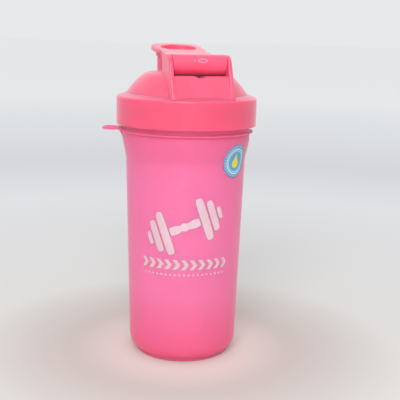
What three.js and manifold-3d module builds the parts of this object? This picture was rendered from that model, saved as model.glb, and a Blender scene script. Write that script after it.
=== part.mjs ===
// A one-litre protein shaker bottle: a moulded cup with a hanging loop, a screw lid with a spout, a flip cap
// that swings on a pin between two fins, and a mixing strainer in the neck. Millimetres, +Z up.
// The origin is the centre of the base, on the plane that the bottle stands on. -Y is the printed front.
import * as THREE from "three";
import { mergeVertices } from "three/addons/utils/BufferGeometryUtils.js";
import Module from "manifold-3d";

const wasm = await Module();
wasm.setup();

// Whole bottle
const SEGMENTS = 48; // sides of a large round
const SMALL_SEGMENTS = 24; // sides of a small round
const GAP = 0.3; // left between two pieces that touch
const COLLAR_R = 52.5; // outside of the lid, the widest round of the bottle
const LID_TURN = THREE.MathUtils.degToRad(16.5); // how far the closed lid's hinge stands round from the front

// Cup
const CUP_WALL = 2.0;
const FOOT_R = 36.2;
const FOOT_H = 3.2;
const FOOT_IN_R = 32.5; // inner edge of the ring that the bottle stands on
const PAD_R = 9; // flat round in the middle of the base, level with the foot ring
const BASE_HOLLOW = 1.0; // depth of the ring-shaped hollow between the two
const FLOOR_Z = 3.4;
const CORNER_Z = 12.5; // where the rounded bottom corner ends and the straight taper begins
const CORNER_R = 36.6; // centre of that corner
const BODY_LOW_R = 41.5;
const BODY_HIGH_R = 45.0;
const BODY_HIGH_Z = 148;
const SHOULDER_R = 47.9;
const SHOULDER_Z = 167; // top of the flare below the collar
const FLANGE_R = 50.4;
const FLANGE_Z = 171.8;
const NECK_R = 47.6;
const NECK_IN_R = 45.6;
const NECK_TOP = 194;
const BEAD_R = 44.4; // the strainer rests on this inner bead
const BEAD_Z = 184;
const LOOP_X = -56.2; // centre of the hanging loop's eye
const LOOP_R = 7.3;
const LOOP_EYE_R = 4.2;
const LOOP_T = 2.1;
const LOOP_ROOT_W = 13; // half-width where it leaves the flange
const GUSSET_T = 2.4;
const GUSSET_LOW_Z = 157;

// Screw thread: one right-hand start on the neck, one inside the collar
const PITCH = 5;
const THREAD_TURNS = 1.25;
const NECK_THREAD_Z = 180.5;
const NECK_CREST_R = 49.3;
const LID_CREST_R = 48.2;
const THREAD_DROP = 1.75; // the collar's ridge runs this far below the neck's
const THREAD_ROOT_W = 2.0;
const THREAD_CREST_W = 1.0;

// Lid
const COLLAR_LOW_Z = 176;
const COLLAR_EDGE_Z = 195.6; // where the collar's upper edge begins to turn in
const COLLAR_EDGE_R = 1; // rounding of that edge; from there the top slopes up to the dome
const CEILING_CHAMFER = 1.2;
const COLLAR_TOP_Z = 198.6;
const COLLAR_IN_R = 50.1;
const CEILING_Z = 196.4;
const SKIRT_IN_R = 43.5; // inner skirt that keeps the gasket centred
const SKIRT_R = 44.7;
const SKIRT_LOW_Z = 190.2;
const DOME_TOP_Z = 214.5;
const DOME_FLAT_R = 29;
const DOME_LOW = new THREE.Vector2(45.57, 198.2);
const DOME_BEND = new THREE.Vector2(41.2, 205.4);
const DOME_HIGH = new THREE.Vector2(34.1, 211.7);
const DOME_WALL = 2.0;
const DOME_IN_TOP_Z = 211.2;

// Hinge, in the lid's own frame: x across, y towards the spout, z up
const HINGE_Y = -28.8;
const HINGE_Z = 221;
const BARREL_R = 7;
const FIN_IN_X = 20;
const FIN_OUT_X = 23.1;
const FIN_TOP_Z = 228;
const FIN_BACK_Y = -15.2;
const FIN_ROUND = 3.2; // size of the rounding at its upper corners
const FIN_STEEPER = 0.69; // its front edge against the front wall's slope
const FRONT_LOW_Y = -45.7; // foot of the sloping front
const FRONT_SLOPE = -10 / 16.6; // change of |y| per mm of height
const SILL_Z = 213.2; // top of the front wall, under the barrel
const POCKET_Y = -21; // back of the pocket that the barrel lies in
const NOTCH_R = 5.8; // half-moon cut in the middle of the sill
const NOTCH_DEPTH = 1.8;
const PIN_R = 1.5;
const PIN_HOLE_R = PIN_R + GAP;

// Spout and plug
const SPOUT_Y = 23.6;
const SPOUT_R = 17.2;
const SPOUT_BORE_R = 14.3;
const SPOUT_TOP_Z = 227.2;
const PLUG_R = 13.7;
const PLUG_LOW_R = 13.2;
const PLUG_LOW_Z = 223.4;

// Flip cap
const ARM_HALF_W = 18.4;
const ARM_LOW_Z = 223.6;
const ARM_RISE_Y = -4; // its top is level up to here, then rises to the thumb tab
const HEAD_HALF_W = 20.3;
const HEAD_Y = 6.4; // front edge of the head's underside
const HEAD_END_Y = 45.0;
const HEAD_ROUND_Y = 31; // where the head's rounded end begins
const HEAD_LOW_Z = SPOUT_TOP_Z + GAP;
const TAB_Y = 34.5; // from here the underside rises under the thumb tab
const TAB_LOW_Z = 231;
const TAB_TOP_Z = 235;
const RECESS_Y = 26;
const RECESS_HALF_W = 13.7;
const RECESS_HALF_L = 11.8;
const RECESS_FLOOR_Z = 230.3;

// Gasket, strainer and sticker
const GASKET_IN_R = SKIRT_R + GAP;
const GASKET_R = 48.2;
const STRAINER_R = 45.2;
const STRAINER_IN_R = 42.8;
const STRAINER_T = 1.6;
const STRAINER_H = 3.6;
const GRID_PITCH = 8;
const GRID_BAR = 1.8;
const STICKER_R = 12.3;
const STICKER_T = 0.4;
const STICKER_AZ = THREE.MathUtils.degToRad(-36.5); // round from +X
const STICKER_Z = 152.3;

const v2 = (x, y) => new THREE.Vector2(x, y);

// A closed geometry as a manifold-3d solid.
function solid(geometry) {
  const bare = geometry.clone();
  bare.deleteAttribute("normal");
  bare.deleteAttribute("uv");
  const merged = mergeVertices(bare, 1e-3);
  return new wasm.Manifold(
    new wasm.Mesh({
      numProp: 3,
      vertProperties: merged.attributes.position.array,
      triVerts: new Uint32Array(merged.index.array),
    }),
  );
}

// A manifold-3d solid as a named mesh.
function meshOf(name, shape, material) {
  const made = shape.getMesh();
  const geometry = new THREE.BufferGeometry();
  geometry.setAttribute("position", new THREE.BufferAttribute(made.vertProperties, 3));
  geometry.setIndex(new THREE.BufferAttribute(made.triVerts, 1));
  geometry.computeVertexNormals();
  const mesh = new THREE.Mesh(geometry, material);
  mesh.name = name;
  return mesh;
}

// A profile of (radius, height) points, in order up its outside, turned round the Z axis.
function revolve(points, segments = SEGMENTS) {
  return solid(new THREE.LatheGeometry(points, segments).rotateX(Math.PI / 2));
}

// An outline of (y, z) points, carried across from -halfWidth to +halfWidth in x.
function across(outline, halfWidth) {
  const geometry = new THREE.ExtrudeGeometry(outline, {
    depth: 2 * halfWidth,
    bevelEnabled: false,
    curveSegments: 6,
  });
  geometry.translate(0, 0, -halfWidth);
  const axes = [new THREE.Vector3(0, 1, 0), new THREE.Vector3(0, 0, 1), new THREE.Vector3(1, 0, 0)];
  return solid(geometry.applyMatrix4(new THREE.Matrix4().makeBasis(...axes)));
}

// An outline of (x, y) points, raised from lowZ to highZ.
function raised(outline, lowZ, highZ, curveSegments = 12) {
  const geometry = new THREE.ExtrudeGeometry(outline, {
    depth: highZ - lowZ,
    bevelEnabled: false,
    curveSegments,
  });
  return solid(geometry.translate(0, 0, lowZ));
}

function box(lowX, highX, lowY, highY, lowZ, highZ) {
  const geometry = new THREE.BoxGeometry(highX - lowX, highY - lowY, highZ - lowZ);
  return solid(geometry.translate((lowX + highX) / 2, (lowY + highY) / 2, (lowZ + highZ) / 2));
}

// A round bar along x on the hinge axis.
function hingeBar(radius, lowX, highX) {
  const geometry = new THREE.CylinderGeometry(radius, radius, highX - lowX, SMALL_SEGMENTS);
  return solid(geometry.rotateZ(Math.PI / 2).translate((lowX + highX) / 2, HINGE_Y, HINGE_Z));
}

// A round bar along z.
function post(radius, y, lowZ, highZ, lowRadius = radius) {
  const geometry = new THREE.CylinderGeometry(radius, lowRadius, highZ - lowZ, SEGMENTS * 0.75);
  return solid(geometry.rotateX(Math.PI / 2).translate(0, y, (lowZ + highZ) / 2));
}

// One thread ridge: a trapezoid bar made straight, then wound round the Z axis as it rises.
function threadRidge(rootR, crestR, startZ) {
  const bar = new THREE.Shape([
    v2(rootR, -THREAD_ROOT_W / 2),
    v2(crestR, -THREAD_CREST_W / 2),
    v2(crestR, THREAD_CREST_W / 2),
    v2(rootR, THREAD_ROOT_W / 2),
  ]);
  const geometry = new THREE.ExtrudeGeometry(bar, {
    depth: THREAD_TURNS,
    steps: SEGMENTS * THREAD_TURNS,
    bevelEnabled: false,
  });
  const at = geometry.attributes.position;
  for (let i = 0; i < at.count; i++) {
    const r = at.getX(i);
    const turn = at.getZ(i);
    const angle = 2 * Math.PI * turn;
    at.setXYZ(i, r * Math.cos(angle), r * Math.sin(angle), startZ + PITCH * turn - at.getY(i));
  }
  return solid(geometry);
}

// Radius of the cup's outer wall from the top of its bottom corner to the flange.
function wallRadius(z) {
  const taper = (z - CORNER_Z) / (BODY_HIGH_Z - CORNER_Z);
  if (taper < 1) return THREE.MathUtils.lerp(BODY_LOW_R, BODY_HIGH_R, taper);
  const flare = THREE.MathUtils.smoothstep(z, BODY_HIGH_Z, SHOULDER_Z);
  return THREE.MathUtils.lerp(BODY_HIGH_R, SHOULDER_R, flare);
}

function cupBody() {
  const outside = [v2(0, 0), v2(PAD_R, 0), v2(PAD_R + 1, BASE_HOLLOW), v2(FOOT_IN_R - 1, BASE_HOLLOW)];
  outside.push(v2(FOOT_IN_R, 0), v2(FOOT_R, 0), v2(CORNER_R, FOOT_H));
  for (const angle of [20, 45, 70, 90].map(THREE.MathUtils.degToRad)) {
    const out = (BODY_LOW_R - CORNER_R) * Math.sin(angle);
    outside.push(v2(CORNER_R + out, CORNER_Z - (CORNER_Z - FOOT_H) * Math.cos(angle)));
  }
  const flare = [0, 0.25, 0.5, 0.75, 1].map((t) => THREE.MathUtils.lerp(BODY_HIGH_Z, SHOULDER_Z, t));
  for (const z of flare) outside.push(v2(wallRadius(z), z));
  outside.push(v2(SHOULDER_R, FLANGE_Z - 1.2), v2(FLANGE_R, FLANGE_Z - 0.4), v2(FLANGE_R, FLANGE_Z + 0.2));
  outside.push(v2(NECK_R, FLANGE_Z + 0.8), v2(NECK_R, NECK_TOP - 0.6), v2(NECK_R - 0.6, NECK_TOP));

  const inside = [v2(NECK_IN_R + 0.3, NECK_TOP), v2(NECK_IN_R, NECK_TOP - 0.4), v2(NECK_IN_R, BEAD_Z + 0.2)];
  inside.push(v2(BEAD_R, BEAD_Z), v2(BEAD_R, BEAD_Z - 1), v2(NECK_IN_R, BEAD_Z - 3));
  for (const z of flare.toReversed()) inside.push(v2(wallRadius(z) - CUP_WALL, z));
  inside.push(v2(BODY_LOW_R - CUP_WALL, CORNER_Z), v2(BODY_LOW_R - 2.6, CORNER_Z - 4.6));
  inside.push(v2(CORNER_R - 1.6, FLOOR_Z + 0.5), v2(CORNER_R - 4.2, FLOOR_Z), v2(0, FLOOR_Z));
  return revolve([...outside, ...inside]);
}

// The eye stands out from the flange, and a curved gusset below it runs down into the wall.
function hangingLoop() {
  const plate = new THREE.Shape();
  const [rootX, bendX, bendY] = [-NECK_R + 0.8, -FLANGE_R - 0.4, LOOP_R + 2.2];
  plate.moveTo(rootX, -LOOP_ROOT_W);
  plate.quadraticCurveTo(bendX, -bendY, LOOP_X, -LOOP_R);
  plate.absarc(LOOP_X, 0, LOOP_R, -Math.PI / 2, Math.PI / 2, true);
  plate.quadraticCurveTo(bendX, bendY, rootX, LOOP_ROOT_W);
  const low = FLANGE_Z - LOOP_T / 2;
  const round = new THREE.Shape().absellipse(LOOP_X, 0, LOOP_EYE_R, LOOP_EYE_R, 0, 2 * Math.PI);
  const eye = raised(round, low - LOOP_T, low + 2 * LOOP_T, 10);

  const web = new THREE.Shape([v2(-SHOULDER_R + 1.4, low + 0.5), v2(LOOP_X + LOOP_EYE_R + 0.4, low + 0.5)]);
  web.quadraticCurveTo(-SHOULDER_R - 0.9, low - 2.5, -wallRadius(GUSSET_LOW_Z) + 0.5, GUSSET_LOW_Z);
  const gusset = new THREE.ExtrudeGeometry(web, { depth: GUSSET_T, bevelEnabled: false, curveSegments: 6 });
  gusset.rotateX(Math.PI / 2).translate(0, GUSSET_T / 2, 0);
  return raised(plate, low, low + LOOP_T, 10).subtract(eye).add(solid(gusset));
}

function cup() {
  const bore = [v2(0, FLOOR_Z + 1), v2(BEAD_R - 1, FLOOR_Z + 1), v2(BEAD_R - 1, NECK_TOP), v2(0, NECK_TOP)];
  const thread = threadRidge(NECK_R - 0.4, NECK_CREST_R, NECK_THREAD_Z);
  return cupBody().add(thread).add(hangingLoop().subtract(revolve(bore)));
}

function strainer() {
  const low = BEAD_Z + GAP + 0.2;
  const rim = revolve([
    v2(STRAINER_IN_R, low),
    v2(STRAINER_R - 0.6, low),
    v2(STRAINER_R, low + 0.6),
    v2(STRAINER_R, low + STRAINER_H),
    v2(STRAINER_R - 1.4, low + STRAINER_H),
    v2(STRAINER_IN_R, low + STRAINER_T + 0.7),
    v2(STRAINER_IN_R, low),
  ]);
  const [under, over] = [low + 0.2, low + STRAINER_T];
  const plateR = STRAINER_IN_R + 0.5;
  let plate = revolve([v2(0, under), v2(plateR, under), v2(plateR, over), v2(0, over)]);
  const half = (GRID_PITCH - GRID_BAR) / 2;
  const count = Math.ceil(STRAINER_R / GRID_PITCH);
  for (let i = -count; i < count; i++) {
    for (let j = -count; j < count; j++) {
      const [x, y] = [(i + 0.5) * GRID_PITCH, (j + 0.5) * GRID_PITCH];
      if (Math.hypot(Math.abs(x) + half, Math.abs(y) + half) > STRAINER_IN_R - 0.3) continue;
      plate = plate.subtract(box(x - half, x + half, y - half, y + half, low - 1, low + STRAINER_H));
    }
  }
  return plate.add(rim);
}

// The dome's side is one bulging curve from its foot to its flat top, moved in by the wall for the inside.
function domePoint(t, inward) {
  const p = new THREE.QuadraticBezierCurve(DOME_LOW, DOME_BEND, DOME_HIGH).getPoint(t);
  const slope = v2(DOME_LOW.x - DOME_HIGH.x, DOME_HIGH.y - DOME_LOW.y).normalize();
  return v2(p.x - inward * slope.y, p.y - inward * slope.x);
}

function lidShell() {
  const outside = [v2(0, COLLAR_LOW_Z), v2(COLLAR_R - 0.4, COLLAR_LOW_Z), v2(COLLAR_R, COLLAR_LOW_Z + 0.4)];
  for (const angle of [0, 35, 70].map(THREE.MathUtils.degToRad)) {
    const z = COLLAR_EDGE_Z + COLLAR_EDGE_R * Math.sin(angle);
    outside.push(v2(COLLAR_R - COLLAR_EDGE_R * (1 - Math.cos(angle)), z));
  }
  outside.push(v2(DOME_LOW.x + 0.6, COLLAR_TOP_Z));
  for (const t of [0.08, 0.35, 0.6, 0.8, 1]) outside.push(domePoint(t, 0));
  outside.push(v2(DOME_HIGH.x - 2, DOME_TOP_Z - 1), v2(DOME_FLAT_R, DOME_TOP_Z), v2(0, DOME_TOP_Z));
  return revolve(outside);
}

function lidHollow() {
  const low = COLLAR_LOW_Z - 1;
  const mouth = [v2(0, low), v2(COLLAR_IN_R, low), v2(COLLAR_IN_R, CEILING_Z - CEILING_CHAMFER)];
  mouth.push(v2(COLLAR_IN_R - CEILING_CHAMFER, CEILING_Z), v2(SKIRT_R, CEILING_Z));
  mouth.push(v2(SKIRT_R, SKIRT_LOW_Z), v2(SKIRT_IN_R, SKIRT_LOW_Z), v2(SKIRT_IN_R, CEILING_Z + 0.8));
  for (const t of [0.1, 0.35, 0.6, 0.8]) mouth.push(domePoint(t, DOME_WALL));
  mouth.push(v2(DOME_FLAT_R, DOME_IN_TOP_Z), v2(0, DOME_IN_TOP_Z));
  return revolve(mouth);
}

// The front wall's outline in (y, z): the same slope as the fins' front edges, set back by `inset`.
function frontBlock(inset, topZ, backY) {
  const frontY = (z) => FRONT_LOW_Y - FRONT_SLOPE * (z - COLLAR_TOP_Z) + inset;
  const low = CEILING_Z + 0.8 + inset * 1.4;
  return new THREE.Shape([v2(frontY(low), low), v2(backY, low), v2(backY, topZ), v2(frontY(topZ), topZ)]);
}

function fin(side) {
  const frontY = (z) => FRONT_LOW_Y - FRONT_SLOPE * (z - COLLAR_TOP_Z) * FIN_STEEPER;
  const [low, shoulder] = [CEILING_Z + 0.8, FIN_TOP_Z - FIN_ROUND];
  const outline = new THREE.Shape([v2(frontY(low), low), v2(FIN_BACK_Y, low), v2(FIN_BACK_Y, shoulder)]);
  outline.quadraticCurveTo(FIN_BACK_Y, FIN_TOP_Z, FIN_BACK_Y - FIN_ROUND, FIN_TOP_Z);
  outline.lineTo(frontY(FIN_TOP_Z) + FIN_ROUND, FIN_TOP_Z);
  outline.quadraticCurveTo(frontY(FIN_TOP_Z), FIN_TOP_Z, frontY(shoulder), shoulder);
  const middle = (side * (FIN_IN_X + FIN_OUT_X)) / 2;
  return across(outline, (FIN_OUT_X - FIN_IN_X) / 2).translate([middle, 0, 0]);
}

function lid() {
  const sill = across(frontBlock(0, SILL_Z, POCKET_Y), FIN_IN_X + 0.4);
  const spout = post(SPOUT_R, SPOUT_Y, 200, SPOUT_TOP_Z);
  const outer = lidShell().subtract(box(-FIN_IN_X, FIN_IN_X, -60, POCKET_Y, SILL_Z, 240));
  const block = frontBlock(2, SILL_Z - 3.4, -25);
  const hollow = lidHollow().add(across(block, FIN_IN_X - 1.6)).add(post(SPOUT_BORE_R, SPOUT_Y, 205, 240));
  const notch = new THREE.CylinderGeometry(NOTCH_R, NOTCH_R, 12, SMALL_SEGMENTS);
  notch.translate(0, FRONT_LOW_Y + 10, SILL_Z - NOTCH_DEPTH + NOTCH_R);
  const bore = hingeBar(PIN_HOLE_R, -FIN_OUT_X + 1, FIN_OUT_X + 1);
  const ridge = threadRidge(COLLAR_IN_R + 0.4, LID_CREST_R, lidThreadZ);
  return outer
    .add(fin(-1))
    .add(fin(1))
    .add(sill)
    .add(spout)
    .subtract(hollow)
    .subtract(solid(notch))
    .subtract(bore)
    .add(ridge);
}

function lidGasket() {
  const low = NECK_TOP + GAP;
  const high = CEILING_Z - GAP;
  const ring = [v2(GASKET_IN_R, low), v2(GASKET_R, low), v2(GASKET_R, high), v2(GASKET_IN_R, high)];
  return revolve([...ring, ring[0]]);
}

// From the barrel the arm runs back over the spout, and its end sweeps up as a thumb tab.
function flipCap() {
  const side = new THREE.Shape([v2(HINGE_Y, FIN_TOP_Z)]);
  side.quadraticCurveTo(HINGE_Y + 5, ARM_LOW_Z - 0.4, HINGE_Y + 13, ARM_LOW_Z);
  side.lineTo(HEAD_Y, ARM_LOW_Z + 0.6);
  side.lineTo(HEAD_Y, HEAD_LOW_Z);
  side.lineTo(TAB_Y, HEAD_LOW_Z);
  side.quadraticCurveTo(TAB_Y + 5, HEAD_LOW_Z + 0.4, HEAD_END_Y, TAB_LOW_Z);
  side.lineTo(HEAD_END_Y, TAB_TOP_Z);
  side.quadraticCurveTo(ARM_RISE_Y + 10, FIN_TOP_Z + 0.8, ARM_RISE_Y, FIN_TOP_Z);
  side.lineTo(HINGE_Y, FIN_TOP_Z);

  const plan = new THREE.Shape();
  plan.moveTo(-ARM_HALF_W, HINGE_Y);
  plan.lineTo(ARM_HALF_W, HINGE_Y);
  plan.lineTo(ARM_HALF_W, ARM_RISE_Y);
  plan.lineTo(HEAD_HALF_W, HEAD_Y);
  plan.lineTo(HEAD_HALF_W, HEAD_ROUND_Y);
  plan.bezierCurveTo(HEAD_HALF_W, HEAD_END_Y - 4, HEAD_HALF_W - 6, HEAD_END_Y, 0, HEAD_END_Y);
  plan.bezierCurveTo(6 - HEAD_HALF_W, HEAD_END_Y, -HEAD_HALF_W, HEAD_END_Y - 4, -HEAD_HALF_W, HEAD_ROUND_Y);
  plan.lineTo(-HEAD_HALF_W, HEAD_Y);
  plan.lineTo(-ARM_HALF_W, ARM_RISE_Y);

  const oval = new THREE.Shape().absellipse(0, RECESS_Y, RECESS_HALF_W, RECESS_HALF_L, 0, 2 * Math.PI);
  return across(side, HEAD_HALF_W + 1)
    .intersect(raised(plan, 200, 240))
    .add(hingeBar(BARREL_R, -FIN_IN_X + GAP, FIN_IN_X - GAP))
    .subtract(raised(oval, RECESS_FLOOR_Z, 240))
    .subtract(hingeBar(PIN_HOLE_R, -30, 30));
}

function hingePin() {
  return hingeBar(PIN_R, -FIN_OUT_X + 1 + GAP, FIN_OUT_X - 0.2);
}

function spoutPlug() {
  const body = post(PLUG_R, SPOUT_Y, PLUG_LOW_Z, HEAD_LOW_Z - GAP, PLUG_LOW_R);
  return body.subtract(post(PLUG_R - 2.4, SPOUT_Y, PLUG_LOW_Z - 1, HEAD_LOW_Z - GAP - 1.6));
}

// A thin disc of rings, laid round the cup's wall.
function labelSticker() {
  const steps = [0, 0.34, 0.67, 1].map((t) => t * STICKER_R);
  const low = steps.map((r) => v2(r, 0));
  const high = steps.toReversed().map((r) => v2(r, STICKER_T));
  const disc = new THREE.LatheGeometry([...low, ...high], SMALL_SEGMENTS);
  const at = disc.attributes.position;
  for (let i = 0; i < at.count; i++) {
    const z = STICKER_Z + at.getZ(i) * -1;
    const r = wallRadius(z) + GAP + at.getY(i);
    const angle = STICKER_AZ + at.getX(i) / BODY_HIGH_R;
    at.setXYZ(i, r * Math.cos(angle), r * Math.sin(angle), z);
  }
  return solid(disc);
}

const lidThreadZ = NECK_THREAD_Z - THREAD_DROP + (PITCH * LID_TURN) / (2 * Math.PI);

function plastic(color, roughness, opacity = 1) {
  const look = { color, roughness, opacity, transparent: opacity < 1 };
  return new THREE.MeshStandardMaterial(look);
}

const cupPink = plastic("#f478a8", 0.35, 0.85);
const lidPink = plastic("#fb7192", 0.4);
const softPink = plastic("#f6a3b5", 0.7);
const clearGrid = plastic("#f7d7df", 0.45);
const labelBlue = plastic("#8aaecc", 0.5);

const bottle = new THREE.Group();
bottle.add(meshOf("cup", cup(), cupPink));
bottle.add(meshOf("strainer", strainer(), clearGrid));
bottle.add(meshOf("label_sticker", labelSticker(), labelBlue));
bottle.add(meshOf("lid_gasket", lidGasket(), softPink));

const lidGroup = new THREE.Group();
lidGroup.rotation.z = LID_TURN;
lidGroup.add(meshOf("lid", lid(), lidPink));
lidGroup.add(meshOf("flip_cap", flipCap(), lidPink));
lidGroup.add(meshOf("hinge_pin", hingePin(), lidPink));
lidGroup.add(meshOf("spout_plug", spoutPlug(), softPink));
bottle.add(lidGroup);

export default bottle;
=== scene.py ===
import math

import bpy
import numpy as np
from mathutils import Matrix, Vector


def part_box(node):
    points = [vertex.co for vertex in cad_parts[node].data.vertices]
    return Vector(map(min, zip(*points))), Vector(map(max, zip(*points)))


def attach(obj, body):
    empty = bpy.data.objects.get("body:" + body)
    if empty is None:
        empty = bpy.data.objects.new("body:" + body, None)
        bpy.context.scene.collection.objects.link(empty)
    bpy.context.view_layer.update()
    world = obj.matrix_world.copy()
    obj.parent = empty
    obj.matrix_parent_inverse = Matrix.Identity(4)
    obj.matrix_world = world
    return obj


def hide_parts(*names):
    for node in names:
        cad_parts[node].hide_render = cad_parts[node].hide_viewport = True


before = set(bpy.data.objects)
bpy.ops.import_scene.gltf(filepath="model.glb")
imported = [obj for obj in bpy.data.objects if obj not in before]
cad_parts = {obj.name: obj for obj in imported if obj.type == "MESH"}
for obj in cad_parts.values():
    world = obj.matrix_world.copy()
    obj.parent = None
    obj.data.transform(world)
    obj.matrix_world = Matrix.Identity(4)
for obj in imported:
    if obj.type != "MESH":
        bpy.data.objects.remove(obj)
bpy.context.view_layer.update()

MM = 0.001
SIDES = 192                # sides of a large round

# Collar of the lid: outer radius and lower edge from the frame, the top's height at its rim and at the dome
COLLAR_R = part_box("lid")[1].x / MM
COLLAR_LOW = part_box("lid")[0].z / MM
COLLAR_IN_R = 50.1
COLLAR_EDGE, COLLAR_TOP = 196.4, 198.6
CEILING = 196.4            # inside, over the neck's rim
SKIRT_IN_R, SKIRT_R, SKIRT_LOW = 43.5, 44.7, 190.2
LID_TURN = math.radians(16.5)

# Cup, from its rim down
NECK_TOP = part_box("cup")[1].z / MM
NECK_R, NECK_IN_R = 47.6, 45.6
BEAD_R, BEAD_Z = 44.4, 184.0          # the inner ledge that the strainer rests on
FLANGE_R, FLANGE_Z = 50.4, 171.8
SHOULDER_R, SHOULDER_Z = 47.9, 167.0
BODY_LOW_R, BODY_HIGH_R, BODY_HIGH_Z = 41.5, 45.0, 148.0
WALL = 2.0
FLOOR_Z = 3.4
CORNER_R, CORNER_Z, FOOT_H = 36.6, 12.5, 3.2
FOOT_R, FOOT_IN_R, PAD_R, BASE_HOLLOW = 36.2, 32.5, 9.0, 1.0
LOOP_X, LOOP_R, EYE_R, LOOP_T = -56.2, 7.3, 4.2, 2.1
GUSSET_Z, GUSSET_HALF, GUSSET_T = 164.3, 7.2, 2.4

# Screw thread: the cup's ridge starts at NECK_THREAD_Z, and the lid's runs THREAD_DROP below it
PITCH, THREAD_TURNS = 5.0, 1.25
NECK_THREAD_Z, NECK_CREST_R, LID_CREST_R, THREAD_DROP = 180.5, 49.3, 48.2, 1.75
RIDGE_HALF, RIDGE_SUNK = 1.0, 0.4     # half its height, and how deep its root sits in the wall

# Print and label: heights of their middles, and where they stand round the cup
PRINT_Z = 106.0
PRINT_FRONT, PRINT_BACK = math.radians(-88), math.radians(90)
STICKER_Z, STICKER_AT, STICKER_R = 152.3, math.radians(-36.5), 12.3

# Dome: foot, bend and edge of its top, as (radius, height)
DOME_LOW, DOME_BEND, DOME_HIGH = (45.57, 198.2), (41.2, 205.4), (34.1, 211.7)
DOME_TOP, DOME_IN_TOP, DOME_WALL = 214.5, 211.2, 2.0
DOME_ROUND, DOME_CUT_Z = 4.0, 196.75  # its feet end inside the collar's top

# Front block and fins under the hinge; a slope is how far the front leans back for each mm of height
HINGE_Y, HINGE_Z, BARREL_R, BARREL_HALF = -28.8, 221.0, 7.0, 19.7
PIN_R, PIN_HOLE_R, BARREL_HOLE_R = 1.5, 1.75, 1.8
PIN_LEFT, PIN_RIGHT, PIN_HOLE_LEFT = -21.8, 22.9, -22.1
FIN_X, FIN_HALF, FIN_TOP, FIN_BACK = 21.55, 1.55, 228.0, -15.2
FRONT_Y, FRONT_SLOPE, FIN_SLOPE = 45.7, 0.602, 0.4157
BLOCK_HALF, BLOCK_BACK = 20.5, -20.0
BLOCK_IN_HALF, BLOCK_IN_BACK, BLOCK_ROOF = 18.9, -25.0, 3.4
SILL_Z, POCKET_Y, POCKET_HALF = 213.2, -21.0, 20.0
POCKET_FALL, POCKET_START, POCKET_RUN = 0.085, -36.0, 16
NOTCH_R, NOTCH_RISE, NOTCH_BACK = 5.8, 4.0, -26.0

# Spout
SPOUT_Y, SPOUT_R, BORE_R, SPOUT_TOP = 23.6, 17.2, 14.3, 227.2
LIP_STEP, LIP_H, BORE_LOW = 1.1, 2.6, 205.0

# Flip cap: arm, head and thumb tab, the dish in the head and the hollow under the arm
ARM_W, ARM_RISE_Y, ARM_LOW = 18.4, -4.0, 223.6
HEAD_W, HEAD_Y, HEAD_END, HEAD_LOW = 19.8, 6.4, 45.0, 227.5
HEAD_POWER, HEAD_ROUND, HEAD_SLANT, HEAD_SLANT_H = 3.2, 14.0, 0.9, 2.6
TAB_Y, TAB_LOW, TAB_TOP = 34.5, 230.6, 235.0
DISH_Y, DISH_W, DISH_L, DISH_FLOOR = 26.0, 13.7, 11.8, 230.3
CAP_SKIRT_IN, CAP_SKIRT_OUT, CAP_SKIRT_H = 0.7, 0.9, 2.2
CORE_W, CORE_Y, CORE_L, CORE_ROOF = 15.2, -7.5, 9.5, 2.4
MARK_ANGLE = math.radians(23)         # the raised mark's middle, up round the barrel from its front

# Soft seals: the ring under the ceiling and the plug in the spout
GASKET_IN_R, GASKET_R, GASKET_LOW, GASKET_TOP = 45.0, 48.2, 194.3, 196.1
PLUG_FACE_R, PLUG_FACE_Z, PLUG_LIP_R, PLUG_LOW, PLUG_R, PLUG_TOP = 11.3, 225.6, 13.2, 223.4, 13.7, 227.2

# Camera: place in metres, angles in degrees, lens and sensor in millimetres
CAMERA_AT = (0.01181, -0.58312, 0.23787)
CAMERA_DOWN, CAMERA_ROLL, CAMERA_LENS, SENSOR_WIDTH = 11.68, 1.41, 69.6, 36.0


# ---------------------------------------------------------------- meshes

def mesh_object(name, points, faces, uv=None):
    """Puts points in metres and faces (an array of quads, or a list of faces) in a smooth-shaded object."""
    mesh = bpy.data.meshes.new(name)
    mesh.from_pydata(np.asarray(points).reshape(-1, 3), [], faces)
    mesh.polygons.foreach_set("use_smooth", np.ones(len(mesh.polygons), bool))
    if uv is not None:
        corner = np.empty(len(mesh.loops), int)
        mesh.loops.foreach_get("vertex_index", corner)
        mesh.uv_layers.new(name="flat").data.foreach_set("uv", uv[corner].ravel())
    mesh.validate()
    mesh.update()
    piece = bpy.data.objects.new(name, mesh)
    bpy.context.collection.objects.link(piece)
    return piece


def turned(points, angle=LID_TURN):
    """Points turned by an angle round Z: x' = x cos a - y sin a, y' = x sin a + y cos a."""
    c, s = math.cos(angle), math.sin(angle)
    return points @ np.array([[c, s, 0], [-s, c, 0], [0, 0, 1]])


def rounded(corners, steps=6):
    """An outline of (radius, height, rounding) corners. Each corner becomes the quadratic curve between the
    two points `rounding` away from it, and long straights get a point close to each end."""
    corners = np.asarray(corners, float)
    out = [corners[:1, :2]]
    t = np.linspace(0, 1, steps)[:, None]
    for before, at, after in zip(corners[:-2], corners[1:-1], corners[2:]):
        p, size = at[:2], at[2]
        if size == 0:
            out.append(p[None])
            continue
        a = p + (before[:2] - p) * size / np.linalg.norm(before[:2] - p)
        b = p + (after[:2] - p) * size / np.linalg.norm(after[:2] - p)
        out.append((1 - t) ** 2 * a + 2 * t * (1 - t) * p + t ** 2 * b)
    out.append(corners[-1:, :2])
    line = np.concatenate(out)
    parts = []
    for a, b in zip(line[:-1], line[1:]):
        length = np.linalg.norm(b - a)
        stops = [0.0]
        if length > 1.2:
            stops += [0.2 / length, *np.linspace(0, 1, int(length / 5) + 2)[1:-1], 1 - 0.2 / length]
        parts.append(a + (b - a) * np.array(stops)[:, None])
    return np.concatenate([*parts, line[-1:]])


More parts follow.
